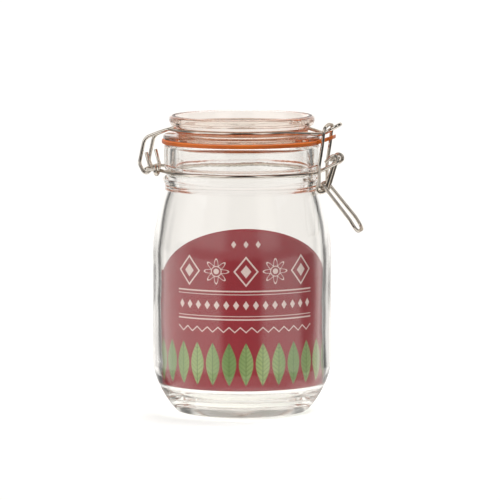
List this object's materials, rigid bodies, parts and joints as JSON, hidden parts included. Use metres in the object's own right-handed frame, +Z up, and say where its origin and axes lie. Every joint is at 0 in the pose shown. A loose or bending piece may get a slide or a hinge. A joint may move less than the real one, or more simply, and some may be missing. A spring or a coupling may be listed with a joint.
{
  "type": "clip top jar",
  "caption": "Clear glass storage jar with a hinged glass lid, rubber sealing ring, sprung wire clip and an arched printed card inside.",
  "frame": {"origin": "centre of the whole object's box, on the surface that the jar stands on; the jar's own axis is 5.85 mm to the -X side of it", "axes": "+Z up along the jar's axis, +X towards the catch, -X towards the lid's hinge, the printed card faces about -Y"},
  "size_m": [0.1322, 0.105, 0.1743],
  "materials": {
    "glass": "clear, polished",
    "rubber": "satin, orange",
    "wire": "bright drawn wire",
    "printed_card": "satin print on card, burgundy"
  },
  "bodies": {
    "jar": {"jar_glass": "glass", "label_card": "printed_card", "neck_wire": "wire", "neck_coil_near": "wire", "neck_coil_far": "wire"},
    "lid": {"lid_glass": "glass", "seal_ring": "rubber", "lid_wire": "wire"},
    "lever": {"latch_lever": "wire"},
    "hook": {"latch_hook": "wire"}
  },
  "joints": [
    {"name": "lid_hinge", "type": "hinge", "parent": "jar", "child": "lid", "pos_m": [-0.06115, 0, 0.1424], "axis": [0, -1, 0], "range_deg": [0, 110]},
    {"name": "lever_pivot", "type": "hinge", "parent": "jar", "child": "lever", "pos_m": [0.05075, 0, 0.1493], "axis": [0, -1, 0], "range_deg": [0, 115], "deforming": ["latch_hook"]},
    {"name": "hook_pivot", "type": "hinge", "parent": "lever", "child": "hook", "pos_m": [0.04295, 0, 0.1323], "axis": [0, -1, 0], "range_deg": [-120, 0]}
  ],
  "couplings": [
    {"joint": "hook_pivot", "follows": "lever_pivot", "ratio": -1.03}
  ]
}
